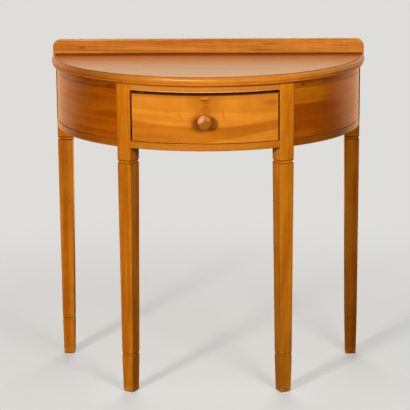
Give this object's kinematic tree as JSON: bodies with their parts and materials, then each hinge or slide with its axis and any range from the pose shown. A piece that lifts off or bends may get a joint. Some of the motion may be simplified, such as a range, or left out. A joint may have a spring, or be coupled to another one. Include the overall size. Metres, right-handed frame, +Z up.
{
  "type": "demilune table",
  "caption": "Half-round wooden hall table with a low back upstand, moulded top edge, tapered square legs and a bow-fronted drawer with a turned knob.",
  "frame": {"origin": "middle of the table's outline on the floor, knob included", "axes": "+X to the right as seen from the front, +Y to the wall, +Z up"},
  "size_m": [0.8, 0.4326, 0.836],
  "materials": {
    "stained_wood": "satin lacquer",
    "plain_wood": "bare, sanded",
    "screw_steel": "plated"
  },
  "bodies": {
    "table": {"top_board": "stained_wood", "back_upstand": "stained_wood", "leg_front_left": "stained_wood", "leg_front_right": "stained_wood", "leg_back_left": "stained_wood", "leg_back_right": "stained_wood", "apron_panel_left": "stained_wood", "apron_panel_right": "stained_wood", "apron_rail_upper_left": "stained_wood", "apron_rail_upper_right": "stained_wood", "apron_rail_lower_left": "stained_wood", "apron_rail_lower_right": "stained_wood", "front_rail_upper": "stained_wood", "front_rail_lower": "stained_wood", "back_rail": "stained_wood", "drawer_runner_left": "plain_wood", "drawer_runner_right": "plain_wood", "drawer_guide_left": "plain_wood", "drawer_guide_right": "plain_wood", "drawer_kicker_left": "plain_wood", "drawer_kicker_right": "plain_wood", "drawer_stops": "plain_wood", "top_block_back_left": "plain_wood", "top_block_back_right": "plain_wood", "top_block_side_left": "plain_wood", "top_block_side_right": "plain_wood", "apron_dowels": "plain_wood", "front_rail_dowels": "plain_wood", "upstand_screws": "screw_steel", "top_screws": "screw_steel"},
    "drawer": {"drawer_front": "stained_wood", "drawer_side_left": "plain_wood", "drawer_side_right": "plain_wood", "drawer_back": "plain_wood", "drawer_bottom": "plain_wood", "drawer_bottom_screws": "screw_steel", "drawer_knob": "stained_wood", "knob_screw": "screw_steel"}
  },
  "joints": [
    {"name": "drawer_slide", "type": "slide", "parent": "table", "child": "drawer", "axis": [0, -1, 0], "range_m": [0, 0.22]}
  ]
}
